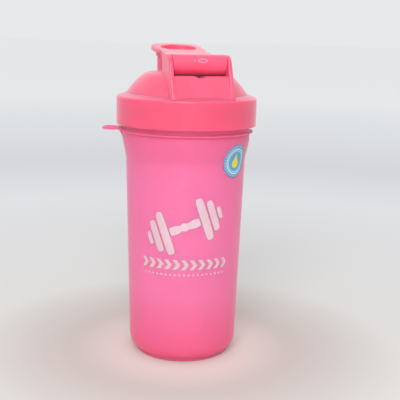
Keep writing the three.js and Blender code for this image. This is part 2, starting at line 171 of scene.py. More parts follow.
def lathe(profile, sides=SIDES, closed=False, centre_y=0.0):
    """A profile of (radius, height) turned round a vertical axis: x = r cos a, y = r sin a + centre,
    z = height. A profile that starts or ends on the axis closes in a pole, and a closed one joins its last
    ring to its first. Returns points in metres and faces."""
    profile = np.asarray(profile, float)
    angle = np.linspace(0, 2 * np.pi, sides, endpoint=False)
    poles = [p for p in (profile[0], profile[-1]) if p[0] < 1e-6]
    low_pole, high_pole = profile[0, 0] < 1e-6, profile[-1, 0] < 1e-6
    rings = profile[int(low_pole): len(profile) - int(high_pole)]
    r, z = rings[:, :1], rings[:, 1:]
    grid = np.stack([r * np.cos(angle), r * np.sin(angle) + centre_y, z + 0 * angle], axis=-1).reshape(-1, 3)
    points = np.concatenate([grid, [(0, centre_y, p[1]) for p in poles]]) if poles else grid
    ids = np.arange(len(rings) * sides).reshape(len(rings), sides)
    if closed:
        ids = np.concatenate([ids, ids[:1]])
    side = np.roll(ids, -1, axis=1)
    quads = np.stack([ids[:-1], side[:-1], side[1:], ids[1:]], axis=-1).reshape(-1, 4)
    faces = quads.tolist()
    if low_pole:
        faces += [(len(grid), b, a) for a, b in zip(ids[0].tolist(), side[0].tolist())]
    if high_pole:
        faces += [(len(points) - 1, a, b) for a, b in zip(ids[-1].tolist(), side[-1].tolist())]
    return points * MM, faces


def thread(root_r, crest_r, start_z, turns=THREAD_TURNS):
    """A screw ridge: a rounded section carried round the helix z = start + pitch * turns. The section is the
    half wave height * cos(s) ** 0.6 over its width, and it fades to nothing over the last 15 degrees."""
    sign = 1 if crest_r > root_r else -1
    along = np.linspace(0, turns, int(SIDES * turns))[:, None]
    s = np.linspace(-1, 1, 11)
    fade = np.clip(np.minimum(along, turns - along) * 360 / 15, 0.02, 1) ** 0.5
    wave = np.cos(s * np.pi / 2).clip(0) ** 0.6
    height = (abs(crest_r - root_r) + RIDGE_SUNK) * fade * wave - RIDGE_SUNK
    radius = np.concatenate([root_r + sign * height, root_r - sign * RIDGE_SUNK + 0 * along], axis=1)
    rise = RIDGE_HALF * np.concatenate([s, [0.0]]) * fade + start_z + PITCH * along
    angle = 2 * np.pi * along
    grid = np.stack([radius * np.cos(angle), radius * np.sin(angle), rise], axis=-1)
    n, m = radius.shape
    ids = np.arange(n * m).reshape(n, m)
    side = np.roll(ids, -1, axis=1)
    quads = np.stack([ids[:-1], ids[1:], side[1:], side[:-1]], axis=-1).reshape(-1, 4)
    faces = [*quads.tolist(), ids[0].tolist(), ids[-1, ::-1].tolist()]
    if sign < 0:
        faces = [f[::-1] for f in faces]
    return grid.reshape(-1, 3) * MM, faces


def curve(ends, bend, steps=40):
    """A quadratic curve from ends[0] to ends[1], pulled towards bend: (1-t)^2 a + 2t(1-t) bend + t^2 b."""
    t = np.linspace(0, 1, steps)[:, None]
    return (1 - t) ** 2 * np.array(ends[0]) + 2 * t * (1 - t) * np.array(bend) + t ** 2 * np.array(ends[1])


# Distances: a solid is where a distance is below zero. Solids join at the smaller of two distances and cut
# at the larger one, and the crease is rounded over a width k where the two distances are closer than k.

def join(a, b, k):
    return np.minimum(a, b) - np.maximum(k - np.abs(a - b), 0) ** 2 / (4 * k)


def cut(a, b, k):
    return -join(-a, -b, k)


def skin(field, low, high, cell):
    """The surface where field(x, y, z) is zero, inside a box in millimetres. Each cell of a grid that the
    surface passes through gets one point, the mean of its crossings of the cell's edges. Each grid edge that
    crosses the surface gets the quad of the four points round it. Three steps of point - field * gradient /
    |gradient|^2 then put the points on the surface itself. Returns points in metres and quads."""
    axes = [np.arange(a, b + cell, cell) for a, b in zip(low, high)]
    value = field(*np.meshgrid(*axes, indexing="ij"))
    inside = value < 0
    n = np.array(value.shape) - 1
    count = sum(inside[i:i + n[0], j:j + n[1], k:k + n[2]].astype(np.int8)
                for i in (0, 1) for j in (0, 1) for k in (0, 1))
    cells = np.argwhere((count > 0) & (count < 8))
    number = np.full(n, -1)
    number[tuple(cells.T)] = np.arange(len(cells))
    total, hits = np.zeros((len(cells), 3)), np.zeros((len(cells), 1))
    for axis in range(3):
        step = np.eye(3, dtype=int)[axis]
        others = [o for o in range(3) if o != axis]
        for p in (0, 1):
            for q in (0, 1):
                corner = np.zeros(3, int)
                corner[others[0]], corner[others[1]] = p, q
                a, b = value[tuple((cells + corner).T)], value[tuple((cells + corner + step).T)]
                crosses = (a < 0) != (b < 0)
                t = np.where(crosses, a / np.where(crosses, a - b, 1), 0)[:, None]
                total += np.where(crosses[:, None], cells + corner + t * step, 0)
                hits += crosses[:, None]
    points = np.array([a[0] for a in axes]) + total / hits * cell
    quads = []
    for axis in range(3):
        u, v = (axis + 1) % 3, (axis + 2) % 3
        first = np.moveaxis(inside, (axis, u, v), (0, 1, 2))
        id_grid = np.moveaxis(number, (axis, u, v), (0, 1, 2))
        here, there = first[:-1, 1:-1, 1:-1], first[1:, 1:-1, 1:-1]
        i, j, k = np.nonzero(here != there)
        loop = np.stack([id_grid[i, j, k], id_grid[i, j + 1, k],
                         id_grid[i, j + 1, k + 1], id_grid[i, j, k + 1]], 1)
        out = here[i, j, k][:, None]
        quads.append(np.where(out, loop, loop[:, ::-1]))
    h = cell / 4
    for _ in range(3):
        x, y, z = points.T
        f = field(x, y, z)
        slope = np.stack([field(x + h, y, z) - field(x - h, y, z),
                          field(x, y + h, z) - field(x, y - h, z),
                          field(x, y, z + h) - field(x, y, z - h)], 1) / (2 * h)
        move = (f / np.maximum((slope ** 2).sum(1), 0.05))[:, None] * slope
        points = points - np.clip(move, -cell / 2, cell / 2)
    return points * MM, np.concatenate(quads)


# ---------------------------------------------------------------- materials

def linear(colour):
    """An sRGB hex colour as linear red, green, blue and alpha."""
    s = np.array([int(colour[i:i + 2], 16) for i in (1, 3, 5)]) / 255
    return (*np.where(s <= 0.04045, s / 12.92, ((s + 0.055) / 1.055) ** 2.4), 1.0)


def add(tree, kind, links=(), values=(), **settings):
    """Adds a node. settings are its own properties, values its inputs by name or number, and links are
    (output, input) pairs, where output is another node's socket."""
    node = tree.nodes.new("ShaderNode" + kind)
    for key, value in settings.items():
        setattr(node, key, value)
    for key, value in dict(values).items():
        node.inputs[key].default_value = value
    for output, key in links:
        tree.links.new(output, node.inputs[key])
    return node


def material(name, **shader):
    """An empty material with its shader and output, and the shader's uniform values set on its sockets."""
    made = bpy.data.materials.new(name)
    made.use_nodes = True
    tree = made.node_tree
    tree.nodes.clear()
    surface = add(tree, "BsdfPrincipled", values=shader)
    add(tree, "OutputMaterial", [(surface.outputs[0], "Surface")])
    return made, tree, surface


def ramp(tree, source, stops):
    """A colour ramp: stops are (position, sRGB hex)."""
    node = add(tree, "ValToRGB", [(source, "Fac")])
    while len(node.color_ramp.elements) < len(stops):
        node.color_ramp.elements.new(0.5)
    for element, (position, colour) in zip(node.color_ramp.elements, stops):
        element.position, element.color = position, linear(colour)
    return node.outputs["Color"]


def moulded_relief(tree, surface, grain_mm, depth_mm, base_rough, swing):
    """The skin that a mould leaves: a fine grain, and slow flow marks that change the gloss a little. Returns
    the flow marks, for the colour to follow."""
    place = add(tree, "TexCoord").outputs["Object"]
    grain = add(tree, "TexNoise", [(place, "Vector")], {"Scale": 1000 / grain_mm, "Detail": 2.0})
    flow = add(tree, "TexNoise", [(place, "Vector")], {"Scale": 1000 / 22, "Detail": 3.0, "Distortion": 0.6})
    gloss = add(tree, "MapRange", [(flow.outputs["Fac"], "Value")], {
        "From Min": 0.3, "From Max": 0.7, "To Min": base_rough - swing, "To Max": base_rough + swing})
    tree.links.new(gloss.outputs["Result"], surface.inputs["Roughness"])
    relief = add(tree, "Bump", [(grain.outputs["Fac"], "Height")],
                 {"Strength": 0.35, "Distance": depth_mm * MM})
    tree.links.new(relief.outputs["Normal"], surface.inputs["Normal"])
    return flow.outputs["Fac"]


def let_light_through(tree, surface, share, colour):
    """Mixes the shader with a share of light that passes through and scatters. colour is an sRGB hex or a
    socket."""
    soaked = add(tree, "BsdfTranslucent")
    if isinstance(colour, str):
        soaked.inputs["Color"].default_value = linear(colour)
    else:
        tree.links.new(colour, soaked.inputs["Color"])
    both = add(tree, "MixShader", [(surface.outputs[0], 1), (soaked.outputs[0], 2)], {0: share})
    tree.links.new(both.outputs[0], tree.nodes["Material Output"].inputs["Surface"])


def cup_polypropylene():
    """Injection-moulded polypropylene, tinted a bright pink and left translucent: light soaks through its 2
    mm wall and comes out soft, with a satin skin. Its colour carries painted shade: darker towards the base
    and towards the shoulder."""
    made, tree, surface = material("translucent_polypropylene_moulded", **{
        "IOR": 1.49, "Transmission Weight": 0.3, "Subsurface Weight": 0.7, "Subsurface Scale": 0.009,
        "Subsurface Radius": (1.0, 0.3, 0.45), "Coat Weight": 0.2, "Coat Roughness": 0.25,
        "Sheen Weight": 0.3, "Sheen Roughness": 0.3})
    flow = moulded_relief(tree, surface, 0.9, 0.01, 0.36, 0.05)
    # Painted shade: the tint ramp over height makes the pink darker towards the base and towards the
    # shoulder.
    height = add(tree, "SeparateXYZ", [(add(tree, "TexCoord").outputs["Object"], 0)]).outputs["Z"]
    along = add(tree, "MapRange", [(height, "Value")], {"From Min": 0.0, "From Max": FLANGE_Z * MM})
    tint = ramp(tree, along.outputs["Result"], [
        (0.0, "#fb6c97"), (0.1, "#fb79a8"), (0.3, "#fb8cbc"), (0.45, "#fb8dbe"),
        (0.8, "#fb88ba"), (0.95, "#fb7dae"), (1.0, "#fb74a5")])
    mottle = add(tree, "MapRange", [(flow, "Value")],
                 {"From Min": 0.3, "From Max": 0.7, "To Min": 0.97, "To Max": 1.0})
    colour = add(tree, "MixRGB", [(tint, 1), (mottle.outputs["Result"], 2)], {0: 1.0}, blend_type="MULTIPLY")
    tree.links.new(colour.outputs[0], surface.inputs["Base Color"])
    let_light_through(tree, surface, 0.35, colour.outputs[0])
    return made


def lid_polypropylene():
    """The same plastic with more pigment, so that it hides what is behind it: a warm coral pink with a fine
    satin skin and slightly lighter flow marks. A little red light still soaks through at its narrow seams."""
    made, tree, surface = material("opaque_polypropylene_moulded", **{
        "IOR": 1.49, "Subsurface Weight": 0.85, "Subsurface Scale": 0.012,
        "Subsurface Radius": (1.0, 0.12, 0.18), "Coat Weight": 0.35, "Coat Roughness": 0.25,
        "Sheen Weight": 0.3, "Sheen Roughness": 0.3})
    flow = moulded_relief(tree, surface, 0.7, 0.008, 0.4, 0.05)
    tree.links.new(ramp(tree, flow, [(0.3, "#d84263"), (0.7, "#db4668")]), surface.inputs["Base Color"])
    let_light_through(tree, surface, 0.08, "#ff2a48")
    return made


def painted_highlight_polypropylene():
    """The raised mark: the lid's plastic, moulded, in a paler pink that paints the highlight it catches."""
    made, tree, surface = material("painted_highlight_polypropylene_moulded", **{"IOR": 1.49, "Coat Weight": 0.3,
                                                                      "Coat Roughness": 0.2})
    flow = moulded_relief(tree, surface, 0.7, 0.008, 0.34, 0.05)
    # Painted highlight: the pale pink stands for light caught on the raised mark.
    tree.links.new(ramp(tree, flow, [(0.3, "#e8718c"), (0.7, "#ec7d97")]), surface.inputs["Base Color"])
    return made


def soft_elastomer():
    """Thermoplastic elastomer, moulded: milky, soft and nearly matt, with a faint bloom."""
    made, tree, surface = material("soft_elastomer_moulded", **{
        "IOR": 1.45, "Subsurface Weight": 0.3, "Subsurface Scale": 0.002, "Sheen Weight": 0.15})
    flow = moulded_relief(tree, surface, 0.4, 0.01, 0.62, 0.06)
    tree.links.new(ramp(tree, flow, [(0.3, "#efe6e4"), (0.7, "#f6efed")]), surface.inputs["Base Color"])
    return made


def strainer_polypropylene():
    """Natural polypropylene with a trace of the pink, moulded: pale, waxy and satin."""
    made, tree, surface = material("natural_polypropylene_moulded", **{
        "IOR": 1.49, "Subsurface Weight": 0.3, "Subsurface Scale": 0.002,
        "Subsurface Radius": (1.0, 0.5, 0.6)})
    flow = moulded_relief(tree, surface, 0.8, 0.01, 0.42, 0.05)
    tree.links.new(ramp(tree, flow, [(0.3, "#f39abb"), (0.7, "#f7a6c4")]), surface.inputs["Base Color"])
    return made


def screen_ink():
    """Screen-printed ink: a thin pale layer, slightly uneven where the mesh of the screen let it through."""
    made, tree, surface = material("pale_ink_screen_printed", **{"IOR": 1.5, "Subsurface Weight": 0.1,
                                                                 "Subsurface Scale": 0.001})
    place = add(tree, "TexCoord").outputs["Object"]
    cover = add(tree, "TexNoise", [(place, "Vector")], {"Scale": 1000 / 1.6, "Detail": 4.0})
    slow = add(tree, "TexNoise", [(place, "Vector")], {"Scale": 1000 / 30, "Detail": 1.0})
    both = add(tree, "Math", [(cover.outputs["Fac"], 0), (slow.outputs["Fac"], 1)], operation="MULTIPLY")
    tint = ramp(tree, both.outputs[0], [(0.12, "#b6949c"), (0.4, "#c3a4ab")])
    tree.links.new(tint, surface.inputs["Base Color"])
    rough = add(tree, "MapRange", [(cover.outputs["Fac"], "Value")], {"To Min": 0.42, "To Max": 0.6})
    tree.links.new(rough.outputs["Result"], surface.inputs["Roughness"])
    return made


def sticker_film():
    """A printed vinyl label: a blue round with two pale rings, a row of pale ticks outside them, and a plain
    yellow drop in the middle. The pattern is worked out from the disc's flat map, where the rim is at 1."""
    made, tree, surface = material("printed_vinyl_film", **{"IOR": 1.5, "Coat Weight": 0.25,
                                                            "Coat Roughness": 0.2})
    flat = add(tree, "UVMap", uv_map="flat").outputs[0]
    split = add(tree, "SeparateXYZ", [(flat, 0)])
    radius = add(tree, "VectorMath", [(flat, 0)], operation="LENGTH").outputs["Value"]
    turn = add(tree, "Math", [(split.outputs["Y"], 0), (split.outputs["X"], 1)],
               operation="ARCTAN2").outputs[0]

    def band(value, low, high, soft=0.012):
        rise = add(tree, "MapRange", [(value, "Value")], {"From Min": low - soft, "From Max": low + soft})
        fall = add(tree, "MapRange", [(value, "Value")],
                   {"From Min": high - soft, "From Max": high + soft, "To Min": 1.0, "To Max": 0.0})
        return add(tree, "Math", [(rise.outputs[0], 0), (fall.outputs[0], 1)],
                   operation="MULTIPLY").outputs[0]

    def calc(kind, a, b=None, number=None):
        node = add(tree, "Math", [(a, 0)] + ([(b, 1)] if b is not None else []), operation=kind)
        if number is not None:
            node.inputs[1].default_value = number
        return node.outputs[0]

    ticks = calc("SINE", calc("MULTIPLY", turn, number=30.0))
    tick_band = calc("MULTIPLY", band(radius, 0.83, 0.92), band(ticks, 0.1, 2.0, 0.3))
    rings = calc("MAXIMUM", band(radius, 0.7, 0.76), calc("MULTIPLY", tick_band, number=0.45))
    pale = calc("MAXIMUM", rings, calc("MULTIPLY", band(radius, 0.6, 0.64), number=0.8))
    # The drop: its half-width at each height, read off a smooth ramp from its foot to its tip.
    height = add(tree, "MapRange", [(split.outputs["Y"], "Value")], {"From Min": -0.42, "From Max": 0.52})
    width = add(tree, "ValToRGB", [(height.outputs[0], "Fac")])
    stops = ((0.0, 0.0), (0.08, 0.19), (0.22, 0.3), (0.36, 0.32), (0.55, 0.2), (0.78, 0.07), (1.0, 0.0))
    while len(width.color_ramp.elements) < len(stops):
        width.color_ramp.elements.new(0.5)
    for element, (position, half) in zip(width.color_ramp.elements, stops):
        element.position, element.color = position, (half, half, half, 1.0)
    spare = calc("SUBTRACT", width.outputs["Color"], calc("ABSOLUTE", split.outputs["X"]))
    drop = add(tree, "MapRange", [(spare, "Value")], {"From Min": 0.0, "From Max": 0.02}).outputs[0]
    blue = ramp(tree, radius, [(0.0, "#3b85a5"), (0.58, "#3e86a8"), (0.66, "#4b7b9b"), (0.95, "#4d7d9c")])
    paled = add(tree, "MixRGB", [(pale, 0), (blue, 1)], {2: linear("#b7cbd2")})
    inked = add(tree, "MixRGB", [(drop, 0), (paled.outputs[0], 1)], {2: linear("#c8b21f")})
    tree.links.new(inked.outputs[0], surface.inputs["Base Color"])
    weave = add(tree, "TexNoise", [(add(tree, "TexCoord").outputs["Object"], "Vector")],
                {"Scale": 1000 / 1.2})
    rough = add(tree, "MapRange", [(weave.outputs["Fac"], "Value")], {"To Min": 0.3, "To Max": 0.5})
    tree.links.new(rough.outputs[0], surface.inputs["Roughness"])
    return made


def paper_with_painted_shade():
    """A roll of pale studio paper with painted light and shade: near white far away, and a little warmer and
    darker round the bottle.
    """
    made, tree, surface = material("studio_paper_painted_shade", **{"Roughness": 0.9, "Specular IOR Level": 0.1})
    place = add(tree, "TexCoord").outputs["Object"]
    far = add(tree, "VectorMath", [(place, 0)], operation="LENGTH").outputs["Value"]
    near = add(tree, "MapRange", [(far, "Value")], {"From Min": 0.0, "From Max": 2.6})
    # Painted light and shade: the ramp over distance from the bottle makes the paper warm and darker close
    # round it, a little darker again in a band further out, and paler far away.
    tint = ramp(tree, near.outputs[0], [
        (0.0, "#c4b8b4"), (0.02, "#c2b6b2"), (0.033, "#aea4a0"), (0.05, "#b3aeaa"), (0.067, "#bcbab7"),
        (0.146, "#bebdbd"), (0.23, "#c4c4c5"), (0.36, "#bebdc0"), (0.6, "#c9cacb"), (1.0, "#d3d3d3")])
    tree.links.new(tint, surface.inputs["Base Color"])
    return made


# ---------------------------------------------------------------- the cup

def wall_radius(z):
    """Radius of the cup's outer wall: a straight taper, then a flare 3 t^2 - 2 t^3 up to the shoulder."""
    taper = BODY_LOW_R + (BODY_HIGH_R - BODY_LOW_R) * (z - CORNER_Z) / (BODY_HIGH_Z - CORNER_Z)
    t = np.clip((z - BODY_HIGH_Z) / (SHOULDER_Z - BODY_HIGH_Z), 0, 1)
    flare = BODY_HIGH_R + (SHOULDER_R - BODY_HIGH_R) * t * t * (3 - 2 * t)
    return np.where(z < BODY_HIGH_Z, taper, flare)


def cup_profile():
    """The cup's section: up its outside from the base, over the rim, and down its inside. The bottom corner
    is a quarter of an ellipse, and the wall keeps its thickness."""
    foot = rounded([(0, 0, 0), (PAD_R, 0, 0.5), (PAD_R + 1, BASE_HOLLOW, 0.5),
                    (FOOT_IN_R - 1, BASE_HOLLOW, 0.5), (FOOT_IN_R, 0, 0.5), (FOOT_R, 0, 0.5),
                    (CORNER_R, FOOT_H, 0)])
    t = np.linspace(0.08, np.pi / 2, 16)
    corner = np.stack([CORNER_R + (BODY_LOW_R - CORNER_R) * np.sin(t),
                       CORNER_Z - (CORNER_Z - FOOT_H) * np.cos(t)], 1)
    heights = np.concatenate([np.arange(CORNER_Z + 3, BODY_HIGH_Z - 3, 4.0),
                              np.linspace(BODY_HIGH_Z - 2, SHOULDER_Z + 1, 28)])
    wall = np.stack([wall_radius(heights), heights], 1)
    rim = rounded([(SHOULDER_R, SHOULDER_Z + 1.5, 0), (SHOULDER_R, FLANGE_Z - 1.3, 0.6),
                   (FLANGE_R, FLANGE_Z - 0.5, 0.35), (FLANGE_R, FLANGE_Z + 0.2, 0.25),
                   (NECK_R, FLANGE_Z + 0.8, 0.5), (NECK_R, NECK_TOP, 0.6), (NECK_IN_R, NECK_TOP, 0.5),
                   (NECK_IN_R, BEAD_Z + 0.3, 0.4), (BEAD_R, BEAD_Z - 0.3, 0.3), (BEAD_R, BEAD_Z - 1, 0.3),
                   (NECK_IN_R, BEAD_Z - 3, 0.8), (SHOULDER_R - WALL, SHOULDER_Z + 1.5, 0)])
    inner = np.stack([wall_radius(heights[::-1]) - WALL, heights[::-1]], 1)
    t = np.linspace(np.pi / 2, 0.08, 12)
    bowl = np.stack([CORNER_R - 4 + (BODY_LOW_R - WALL - CORNER_R + 4) * np.sin(t),
                     CORNER_Z + 2 - (CORNER_Z + 2 - FLOOR_Z) * np.cos(t)], 1)
    base = rounded([(CORNER_R - 5, FLOOR_Z, 0), (20, FLOOR_Z, 0), (0, FLOOR_Z, 0)])
    return np.concatenate([foot, corner, wall, rim, inner, bowl, base])


def loop_field(x, y, z):
    """The hanging loop: a flat eye smoothly necked into the flange, over a thin gusset with a hollow
    curve."""
    r = np.hypot(x, y)
    root = np.maximum(r - FLANGE_R + 0.6, np.abs(y) - 11)
    eye = np.hypot(x - LOOP_X, y)
    plan = cut(join(eye - LOOP_R, root, 6.0), EYE_R - eye, 0.3)
    plate = cut(plan, np.abs(z - FLANGE_Z) - LOOP_T / 2, 1.1)
    reach, height = curve(((46.4, 157), (51.7, FLANGE_Z - 0.4)), (47.4, 166.5), 30).T
    web = np.maximum(-x - np.interp(z, height, reach), np.abs(z - GUSSET_Z) - GUSSET_HALF)
    gusset = cut(web, np.abs(y) - GUSSET_T / 2, 0.7)
    return np.maximum(join(plate, gusset, 1.6), 46.5 - r)


def unrolled(flat, out_mm, azimuth, centre_z):
    """Lays flat (x, z) points on the cup, x along the wall round from an azimuth: angle = azimuth + x / wall
    radius, and the point stands `out_mm` off the wall."""
    z = flat[..., 1] + centre_z
    r = wall_radius(z) + out_mm
    angle = azimuth + flat[..., 0] / BODY_HIGH_R
    return np.stack([r * np.cos(angle), r * np.sin(angle), z], -1)


def fanned(rings, sides):
    """Faces of rings of points, one ring after another, with the first ring closed by a point after them all
    and the last ring by the point after that."""
    n, m = rings, sides
    ids = np.arange(n * m).reshape(n, m)
    side = np.roll(ids, -1, axis=1)
    faces = np.stack([ids[:-1], side[:-1], side[1:], ids[1:]], -1).reshape(-1, 4).tolist()
    faces += [(n * m, b, a) for a, b in zip(ids[0].tolist(), side[0].tolist())]
    faces += [(n * m + 1, a, b) for a, b in zip(ids[-1].tolist(), side[-1].tolist())]
    return faces


def patch(outline, azimuth, centre_z, low=0.02, high=0.06, rings=7):
    """A thin printed patch: rings of points that grow from the middle of its widest row to the outline, once
    low and once high over the wall, joined round the edge. Returns points in metres and faces."""
    outline = np.asarray(outline, float)
    off_middle = np.abs(outline[:, 1] - outline[:, 1].mean())
    middle = outline[np.argsort(off_middle)[:2]].mean(0)
    scale = np.append(np.linspace(0, 0.96, rings), 1.0)[1:, None, None]
    flat = middle + (outline - middle) * scale
    stack = np.concatenate([unrolled(flat, low, azimuth, centre_z),
                            unrolled(flat[::-1], high, azimuth, centre_z)])
    poles = [unrolled(middle, low, azimuth, centre_z), unrolled(middle, high, azimuth, centre_z)]
    points = np.concatenate([stack.reshape(-1, 3), poles])
    return points * MM, fanned(*stack.shape[:2])


def merged(parts):
    """Several (points, faces) as one."""
    points, faces, start = [], [], 0
    for p, f in parts:
        points.append(p)
        faces += [[i + start for i in face] for face in f]
        start += len(p)
    return np.concatenate(points), faces


def bar_outline(x, z, width, height, power=6, tilt=0.0):
    """A rounded bar: the superellipse |x / a|^n + |z / b|^n = 1, tilted."""
    t = np.linspace(0, 2 * np.pi, 48, endpoint=False)
    c, s = np.cos(t), np.sin(t)
    flat = np.stack([width / 2 * np.sign(c) * np.abs(c) ** (2 / power) + x,
                     height / 2 * np.sign(s) * np.abs(s) ** (2 / power) + z], 1)
    k, m = math.cos(tilt), math.sin(tilt)
    return flat @ np.array([[k, m], [-m, k]])


def chevron_outline(x, z, width, height, lean):
    """A chevron pointing along x: a slanted bar's outline folded about its middle height."""
    rows = np.linspace(-1, 1, 13)
    tip = lean * (1 - np.abs(rows))
    right = np.stack([x + width / 2 + tip, z + rows * height / 2], 1)
    left = np.stack([x - width / 2 + tip, z + rows * height / 2], 1)[::-1]
    return np.concatenate([right, left])


def print_outlines():
    """The print: a tilted dumbbell over a row of chevrons and a row of dashes."""
    tilt = math.radians(20)
    shapes = [bar_outline(0, 0, 24, 6.4, 8, tilt)]
    for side in (-1, 1):
        shapes.append(bar_outline(side * 16, 0, 6.2, 33, 5, tilt))
        shapes.append(bar_outline(side * 23.2, 0, 5.4, 24, 5, tilt))
        shapes.append(bar_outline(side * 29, 0, 3.6, 9.5, 5, tilt))
    shapes += [chevron_outline(x, -28.5, 3.2, 7.6, 3.0) for x in np.linspace(-33.5, 31.5, 11)]
    shapes += [bar_outline(x, -36.2, 1.6, 1.3, 4) for x in np.linspace(-32, 32, 19)]
    return shapes


def printed(azimuth):
    """The whole print laid on the cup with its middle at an azimuth."""
    return merged([patch(shape, azimuth, PRINT_Z) for shape in print_outlines()])


def sticker_disc(azimuth, centre_z, radius, low=0.05, high=0.32, rings=10, sides=96):
    """The label: a disc of rings laid round the wall, a little smaller on top at its edge. Returns points in
    metres, faces and the flat map, where the rim is at 1."""
    scale = np.linspace(0, 1, rings)[1:]
    turn = np.linspace(0, 2 * np.pi, sides, endpoint=False)
    unit = np.stack([np.cos(turn), np.sin(turn)], -1)
    flat = scale[:, None, None] * unit * radius
    top = flat * (1 - 0.008 * (scale[:, None, None] == 1))
    stack = np.concatenate([unrolled(flat, low, azimuth, centre_z),
                            unrolled(top[::-1], high, azimuth, centre_z)])
    middle = np.zeros(2)
    poles = [unrolled(middle, low, azimuth, centre_z), unrolled(middle, high, azimuth, centre_z)]
    points = np.concatenate([stack.reshape(-1, 3), poles]) * MM
    uv = np.concatenate([flat.reshape(-1, 2), flat[::-1].reshape(-1, 2), np.zeros((2, 2))]) / radius
    return points, fanned(*stack.shape[:2]), uv


# ---------------------------------------------------------------- the lid

def collar_profile():
    """The collar, the ceiling over the neck, and the inner skirt, as one closed ring section. The top slopes
    up from the rim to the dome's foot."""
    edge = COLLAR_TOP - 0.2
    return rounded([(COLLAR_R - 1.2, COLLAR_LOW, 0), (COLLAR_R, COLLAR_LOW, 0.5),
                    (COLLAR_R, COLLAR_EDGE, 1.2), (DOME_LOW[0] + 0.6, COLLAR_TOP, 0.6),
                    (SKIRT_IN_R + 1, COLLAR_TOP, 0.2),
                    (SKIRT_IN_R + 0.1, edge, 0.2), (SKIRT_IN_R, SKIRT_LOW, 0.4), (SKIRT_R, SKIRT_LOW, 0.4),
                    (SKIRT_R, CEILING, 0.5), (COLLAR_IN_R, CEILING, 1.4), (COLLAR_IN_R, COLLAR_LOW, 0.5),
                    (COLLAR_R - 1.2, COLLAR_LOW, 0)])[:-1]


def dome_radius(z, inward=0.0):
    """Radius of the dome at a height: a quadratic curve from its foot to the edge of its top, moved in along
    its slope, and leaning 1.2 mm in for each mm above that edge."""
    r, h = (curve((DOME_LOW, DOME_HIGH), DOME_BEND) - inward * np.array([0.79, 0.61])).T
    return np.interp(z, h, r) - np.maximum(z - h[-1], 0) * 1.2


def lid_field(x, y, z):
    """The lid above its collar. Solid: the dome, the sloping front block under the barrel, two fins and the
    spout tube. Taken away: the same dome and block set in by the wall, the spout's bore, the pocket under the
    barrel, whose floor falls a little to the back, the half-moon notch in the sill and the pin's holes. The
    factors 0.8, 0.857 and 0.923 are the cosines that turn a gap measured level into one across the slope."""
    r, wide = np.hypot(x, y), np.abs(x)
    spout = np.hypot(x, y - SPOUT_Y)
    dome = cut((r - dome_radius(z)) * 0.8, z - DOME_TOP, DOME_ROUND)
    ledge = SILL_Z - POCKET_FALL * np.clip(y - POCKET_START, 0, POCKET_RUN)
    pocket = cut(cut(wide - POCKET_HALF, y - POCKET_Y, 1.0), ledge - z, 0.5)
    dome = cut(dome, -pocket, 0.7)
    front = (-y - FRONT_Y + FRONT_SLOPE * (z - COLLAR_TOP)) * 0.857
    block = cut(cut(front, z - ledge, 1.0), np.maximum(wide - BLOCK_HALF, y - BLOCK_BACK), 0.6)
    fin_front = (-y - FRONT_Y + FIN_SLOPE * (z - COLLAR_TOP)) * 0.923
    fin_side = cut(cut(fin_front, z - FIN_TOP, 7.0), y - FIN_BACK, 4.0)
    fin = cut(fin_side, np.abs(wide - FIN_X) - FIN_HALF, 1.1)
    tube = cut(spout - SPOUT_R, z - SPOUT_TOP + LIP_H, 0.8)
    lip = cut(spout - SPOUT_R + LIP_STEP, z - SPOUT_TOP, 1.2)
    solid = join(join(join(dome, block, 0.8), fin, 0.8), join(tube, lip, 0.4), 2.4)
    inner = cut((r - dome_radius(z, DOME_WALL)) * 0.8, z - DOME_IN_TOP, DOME_ROUND)
    inner_top = cut(front + DOME_WALL, z - SILL_Z + BLOCK_ROOF, 1.5)
    inner_block = cut(inner_top, np.maximum(wide - BLOCK_IN_HALF, y - BLOCK_IN_BACK), 1.0)
    bore = cut(spout - BORE_R, BORE_LOW - z, 0.5)
    hollow = join(join(inner, inner_block, 1.0), bore, 1.6)
    notch = np.maximum(np.hypot(x, z - SILL_Z - NOTCH_RISE) - NOTCH_R, y - NOTCH_BACK)
    hole = np.maximum(np.hypot(y - HINGE_Y, z - HINGE_Z) - PIN_HOLE_R, PIN_HOLE_LEFT - x)
    shell = cut(cut(cut(solid, -hollow, 1.2), -notch, 0.6), -hole, 0.3)
    return np.maximum(shell, DOME_CUT_Z - z)


def cap_top(y):
    """Height of the flip cap's top: level along the arm, then rising steadily to the thumb tab."""
    line = curve(((ARM_RISE_Y, FIN_TOP), (HEAD_END, TAB_TOP)), (ARM_RISE_Y + 10, FIN_TOP + 0.8))
    return np.interp(y, line[:, 0], line[:, 1])


def cap_low(y):
    """Height of its underside: the arm's, a step up to the spout's rim, then the rise under the thumb tab."""
    step = np.clip((y - HEAD_Y + 1.0) / 1.6, 0, 1)
    tab = np.clip((y - TAB_Y) / (HEAD_END - TAB_Y), 0, 1)
    return ARM_LOW + (HEAD_LOW - ARM_LOW) * step * step * (3 - 2 * step) + (TAB_LOW - HEAD_LOW) * tab * tab


